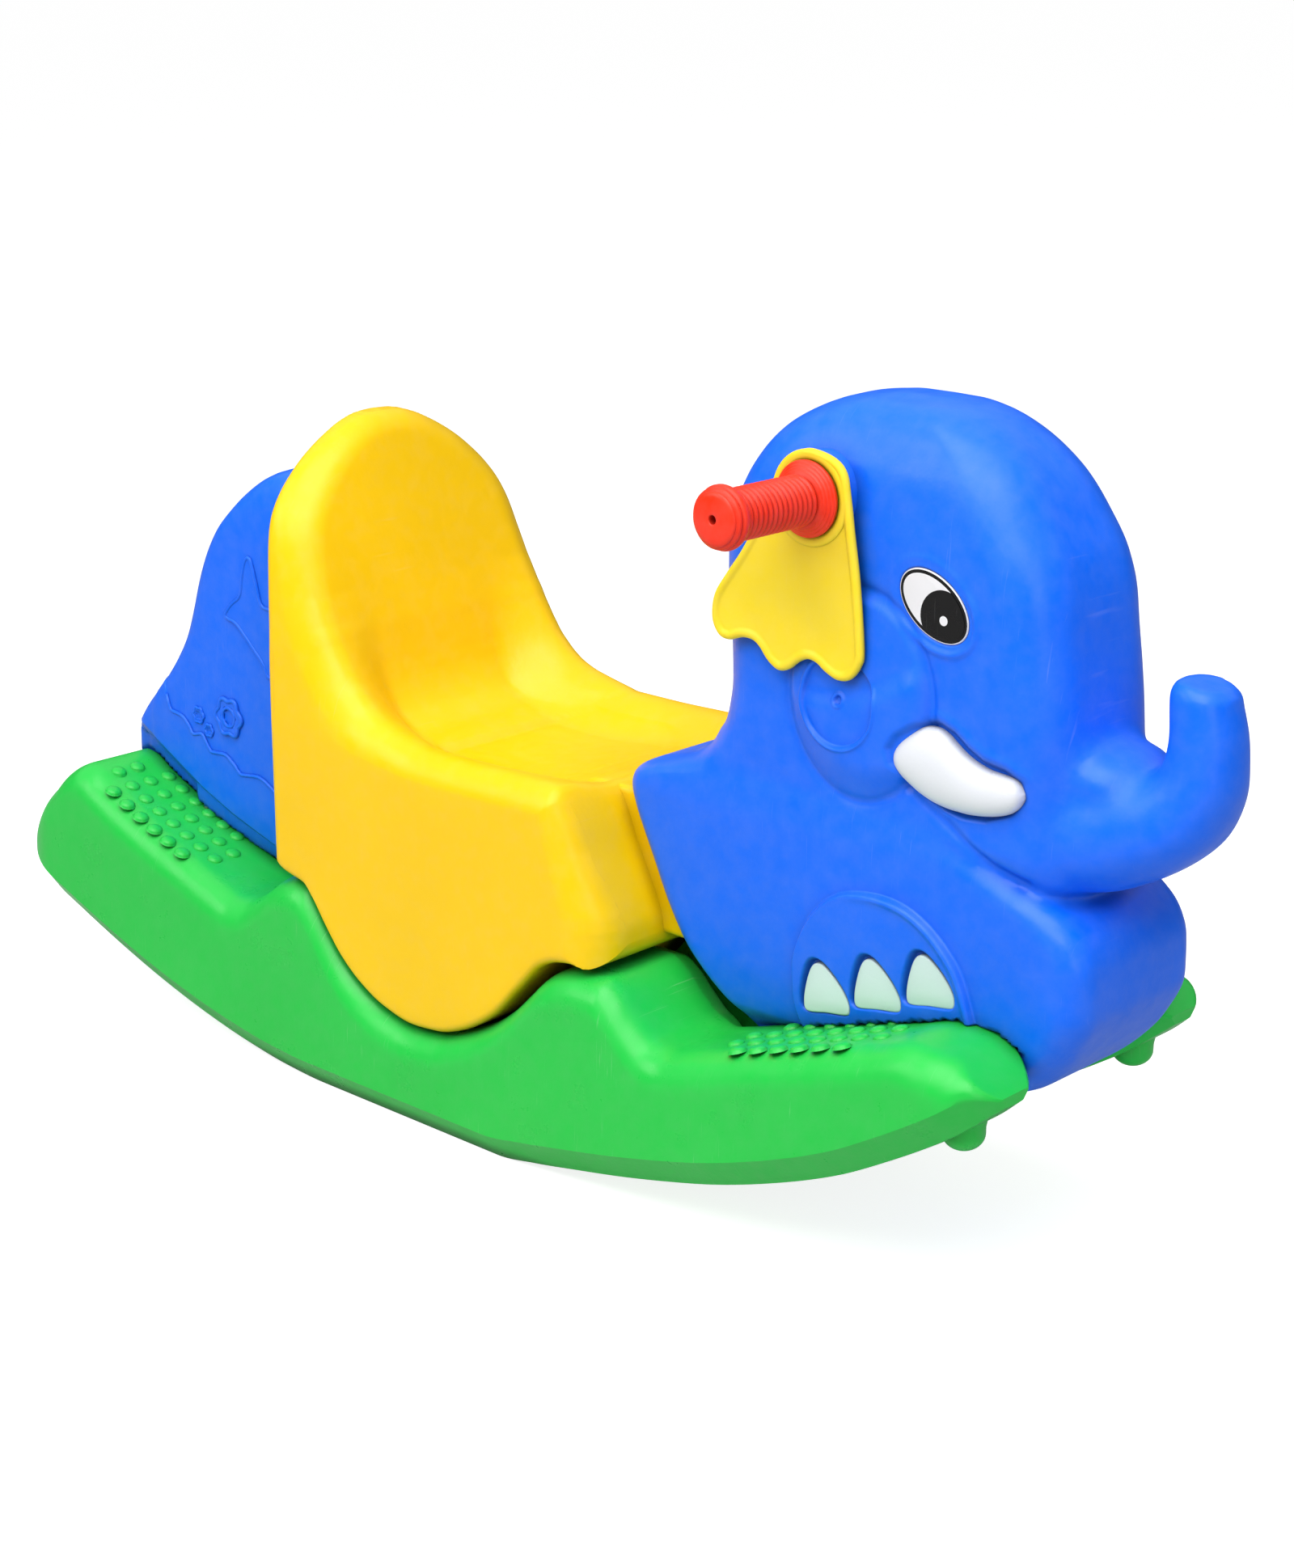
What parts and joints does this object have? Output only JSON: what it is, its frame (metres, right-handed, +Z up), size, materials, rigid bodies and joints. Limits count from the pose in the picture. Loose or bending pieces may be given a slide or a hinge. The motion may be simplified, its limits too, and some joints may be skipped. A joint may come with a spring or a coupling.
{
  "type": "rocking elephant",
  "caption": "Moulded plastic rocking elephant ride-on with a bucket seat, side handles, swinging ears and two curved rocker runners with footrests.",
  "frame": {"origin": "on the floor under the middle of the toy's length and width", "axes": "+X forward towards the trunk, +Y to the elephant's left, +Z up"},
  "size_m": [0.9404, 0.2834, 0.498],
  "materials": {
    "blue_plastic": "moulded, satin gloss",
    "green_plastic": "moulded, satin gloss",
    "yellow_plastic": "moulded, satin gloss",
    "ear_plastic": "moulded, satin",
    "red_plastic": "moulded, satin",
    "white_plastic": "moulded, gloss",
    "nail_plastic": "smooth inset",
    "eye_print": "printed, smooth",
    "steel": "zinc plated"
  },
  "bodies": {
    "rocker": {"front_body": "blue_plastic", "rear_body": "blue_plastic", "seat": "yellow_plastic", "handle_bar": "steel", "runner_right": "green_plastic", "runner_left": "green_plastic", "grip_right": "red_plastic", "grip_left": "red_plastic", "tusk_right": "white_plastic", "tusk_left": "white_plastic", "eye_right": "eye_print", "eye_left": "eye_print", "toenail_right_1": "nail_plastic", "toenail_right_2": "nail_plastic", "toenail_right_3": "nail_plastic", "toenail_left_1": "nail_plastic", "toenail_left_2": "nail_plastic", "toenail_left_3": "nail_plastic", "runner_screw_right_rear": "steel", "runner_screw_right_middle": "steel", "runner_screw_right_front": "steel", "runner_screw_left_rear": "steel", "runner_screw_left_middle": "steel", "runner_screw_left_front": "steel"},
    "ear_right": {"ear_right": "ear_plastic"},
    "ear_left": {"ear_left": "ear_plastic"}
  },
  "joints": [
    {"name": "ear_right_swing", "type": "hinge", "parent": "rocker", "child": "ear_right", "pos_m": [0.2283, -0.0612, 0.4432], "axis": [0, -1, 0], "range_deg": [-25, 40]},
    {"name": "ear_left_swing", "type": "hinge", "parent": "rocker", "child": "ear_left", "pos_m": [0.2283, 0.0612, 0.4432], "axis": [0, -1, 0], "range_deg": [-25, 40]}
  ]
}
